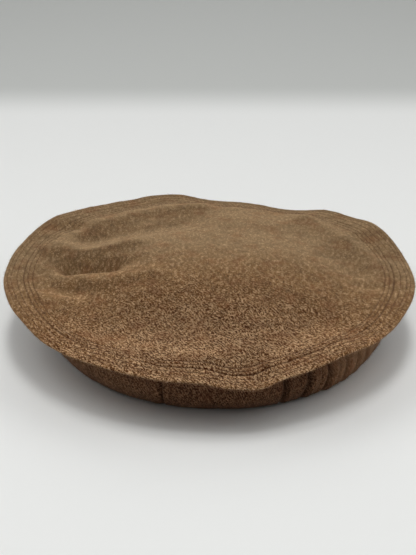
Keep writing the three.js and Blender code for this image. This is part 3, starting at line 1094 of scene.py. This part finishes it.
class PAKOL_OT_rolled_side(bpy.types.Operator):
    """Model the side: flange, head wall and the roll with its gathers, from one strip of wool"""

    bl_idname = "pakol.rolled_side"
    bl_label = "Rolled side"

    def execute(self, context):
        sizes, colours = context.scene.pakol_sizes, context.scene.pakol_colours
        outline = thicken(side_line(sizes), sizes.side_cloth)
        side = ringed_cloth("rolled_side_cloth", outline, SIDE_STATIONS, closed=True)
        map_side(sizes, side, outline, SIDE_STATIONS)
        subdivide(side, 1)
        x, y, z = vertex_places(side).T
        radius, angle = np.hypot(x, y), np.degrees(np.arctan2(y, x))
        crowded = CROWDING["share"] * np.sin(np.radians(angle - CROWDING["at"]))
        angle = angle - np.degrees(crowded)
        # Painted light towards the ends of the roll's front, where its nap is also greyer
        painted_shading, grey_haze_and_light = np.zeros_like(angle), np.zeros_like(angle)
        for where, full, faded, turned, grey in ROLL_ENDS_LIT_AND_GREY:
            share = smooth_step(-np.abs(angle - where), -faded, -full)
            painted_shading += turned * share
            grey_haze_and_light += grey * share
        add_share(side, "painted_shading", painted_shading)
        add_share(side, "grey_haze_and_light", grey_haze_and_light)
        # Painted shade in the gathers, darkest where one is 7 mm deep
        add_share(side, "groove_shade", np.clip(gathers(sizes, z, angle) / (7 * MM), 0, 1))
        set_vertex_places(side, *side_place(sizes, radius, z, angle))
        shade_smooth(side)
        # The side's wool is the crown's at about half the brightness: painted shade under the rim
        side.data.materials.append(wool_cloth("fulled_wool_side_shaded", colours, SIDE_DYE_AND_SHADE))
        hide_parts("rolled_side")
        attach(side, "root")
        return {"FINISHED"}


class PAKOL_OT_rim_stitching(bpy.types.Operator):
    """Sew the rows of stitching round the crown's rim"""

    bl_idname = "pakol.rim_stitching"
    bl_label = "Rim stitching"

    def execute(self, context):
        sizes, colours = context.scene.pakol_sizes, context.scene.pakol_colours
        high = layers(sizes)["crown_high"]
        angles, radii = [], []
        for number, (row, _) in enumerate(STITCH_ROWS):
            radius = sizes.crown_radius - row * MM
            count = round(2 * math.pi * radius / sizes.stitch_length)
            angles.append((np.arange(count) + ROW_OFFSET * number) * 360 / count)
            radii.append(np.full(count, radius))
        angles = np.concatenate(angles)
        radii = np.concatenate(radii) + row_wander(sizes, angles)
        half = np.degrees(STITCH_REACH * sizes.stitch_length / radii)
        heights = np.full(len(angles), high)
        ends = [np.stack(crown_place(sizes, radii, heights, angles + s * half), 1) for s in (-1, 1)]
        along = ends[1] - ends[0]
        middle = np.stack(crown_place(sizes, radii, heights, angles), 1)
        stitch = spindle("stitch", 5, STITCH_FORM, STITCH_BOW)
        long = np.linalg.norm(along, axis=1)
        wide = np.full(len(angles), sizes.thread_width)
        up = np.tile([0.0, 0.0, 1.0], (len(angles), 1))
        places = turned_matrices(middle, along, up, (long, wide, wide))
        stitches = copies_of("rim_stitching", stitch, places)
        thread = plain_fibre("cotton_sewing_thread", colours.thread, colours.wool_dark, 0.7)
        stitches.data.materials.append(thread)
        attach(stitches, "root")
        return {"FINISHED"}


def raise_nap(name, material, pick, roots, outward):
    """Loose fibres of a cloth: each springs from its root, lies over to any side and bends down"""
    hair = spindle("wool_fibre", 3, FIBRE_FORM, FIBRE_BOW)
    count = len(roots)
    along = outward + pick.normal(0, FIBRE["lies over"], (count, 3))
    along /= np.linalg.norm(along, axis=1)[:, None]
    longest = bpy.context.scene.pakol_sizes.nap_length
    long = longest * pick.uniform(FIBRE["shortest"], 1.0, count) ** FIBRE["rarity"]
    wide = pick.uniform(*FIBRE["width"], count) * MM
    up = outward + pick.normal(0, FIBRE["twists"], (count, 3))
    middle = roots + along * (FIBRE["middle"] * long)[:, None]
    fibres = copies_of(name, hair, turned_matrices(middle, along, up, (long, wide, wide)))
    fibres.data.materials.append(material)
    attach(fibres, "root")


class PAKOL_OT_nap(bpy.types.Operator):
    """Raise the loose fibres of the wool, on the crown, round its edge and on the roll"""

    bl_idname = "pakol.nap"
    bl_label = "Nap"

    def execute(self, context):
        sizes, colours = context.scene.pakol_sizes, context.scene.pakol_colours
        at = layers(sizes)
        pick = np.random.default_rng(FIBRE_SEED)
        face, edge, roll, rubbed = FIBRES.values()
        radius = np.full(face + edge, sizes.crown_radius)
        radius[:face] *= pick.uniform(0, 1, face) ** 0.5
        height = np.full(face + edge, at["crown_high"])
        height[face:] = pick.uniform(at["crown_low"], at["crown_high"], edge)
        angle = pick.uniform(-180, 180, face + edge)
        roots = np.stack(crown_place(sizes, radius, height, angle), 1)
        outward = np.tile(FACE_LEAN, (face + edge, 1))
        outward[face:] = np.stack([*on_round(1, angle[face:]), np.full(edge, EDGE_LIFT)], 1)
        wool = plain_fibre("loose_wool_fibres", colours.wool_middle, colours.fleck, 0.8)
        raise_nap("crown_nap", wool, pick, roots, outward)

        # The gathers stand out and are rubbed rougher than the rest of the roll
        angle = [pick.uniform(-180, 180, roll), pick.uniform(RUBBED_FROM, RUBBED_TO, rubbed)]
        angle = np.concatenate(angle)
        rise = np.radians(pick.uniform(ROLL_FOOT, ROLL_TOP, roll + rubbed))
        # As the cloth winds inwards the surface draws in with it
        inset = at["step"] * (0.5 + rise / (2 * math.pi))
        radius = at["roll_radius"] + (at["half_wide"] - inset) * np.cos(rise)
        height = at["roll_middle"] + (at["half_high"] - inset) * np.sin(rise)
        roots = np.stack(side_place(sizes, radius, height, angle), 1)
        lift = np.maximum(np.sin(rise), LOWEST_LEAN)
        outward = np.stack([*on_round(np.cos(rise), angle), lift], 1)
        wool = plain_fibre("loose_roll_fibres", colours.wool_middle, colours.grey_nap_and_sheen, 0.8)
        raise_nap("roll_nap", wool, pick, roots, outward)
        return {"FINISHED"}


class PAKOL_OT_stage(bpy.types.Operator):
    """Lay the table, and set the soft light from above and the camera"""

    bl_idname = "pakol.stage"
    bl_label = "Stage"

    def execute(self, context):
        colours = context.scene.pakol_colours
        bpy.ops.object.select_all(action="DESELECT")
        bpy.ops.mesh.primitive_plane_add(size=TABLE_SIZE)
        table = start_piece("pakol_table")
        table.data.materials.append(table_top("matt_laminate_table", colours))
        for name, place, size, power in LIGHTS:
            bpy.ops.object.light_add(type="AREA", location=place)
            light = context.object
            light.name = name
            light.data.shape = "DISK"
            light.data.size = size
            light.data.energy = power
            # Each lamp looks at the table under the hat
            ahead = -Vector(place)
            light.rotation_euler = ahead.to_track_quat("-Z", "Y").to_euler()
        world = context.scene.world or bpy.data.worlds.new("World")
        context.scene.world = world
        world.use_nodes = True
        sky = world.node_tree.nodes["Background"].inputs
        sky["Color"].default_value = (1, 1, 1, 1)
        sky["Strength"].default_value = SKY_LIGHT
        bpy.ops.object.camera_add(location=CAMERA_PLACE)
        camera = context.object
        camera.name = "Camera"
        camera.data.sensor_width = CAMERA_SENSOR
        camera.data.lens = CAMERA_LENS
        ahead = Vector(CAMERA_AHEAD)
        camera.rotation_euler = ahead.to_track_quat("-Z", "Y").to_euler()
        context.scene.camera = camera
        context.scene.view_settings.view_transform = "Standard"
        return {"FINISHED"}


class PAKOL_PT_panel(bpy.types.Panel):
    """Sizes, colours and building steps of the cap"""

    bl_idname = "PAKOL_PT_panel"
    bl_label = "Pakol"
    bl_space_type = "VIEW_3D"
    bl_region_type = "UI"
    bl_category = "Pakol"

    def draw(self, context):
        for group in (context.scene.pakol_sizes, context.scene.pakol_colours):
            for key in group.__annotations__:
                self.layout.prop(group, key)
        for operator in OPERATORS:
            self.layout.operator(operator.bl_idname)


OPERATORS = (
    PAKOL_OT_stage,
    PAKOL_OT_crown,
    PAKOL_OT_rolled_side,
    PAKOL_OT_rim_stitching,
    PAKOL_OT_nap,
)
CLASSES = (PakolSizes, PakolColours, *OPERATORS, PAKOL_PT_panel)


def register():
    for made in CLASSES:
        bpy.utils.register_class(made)
    bpy.types.Scene.pakol_sizes = bpy.props.PointerProperty(type=PakolSizes)
    bpy.types.Scene.pakol_colours = bpy.props.PointerProperty(type=PakolColours)


def unregister():
    del bpy.types.Scene.pakol_colours
    del bpy.types.Scene.pakol_sizes
    for made in reversed(CLASSES):
        bpy.utils.unregister_class(made)


def main():
    register()
    bpy.ops.pakol.stage()
    bpy.ops.pakol.crown()
    bpy.ops.pakol.rolled_side()
    bpy.ops.pakol.rim_stitching()
    bpy.ops.pakol.nap()


if __name__ == "__main__":
    main()
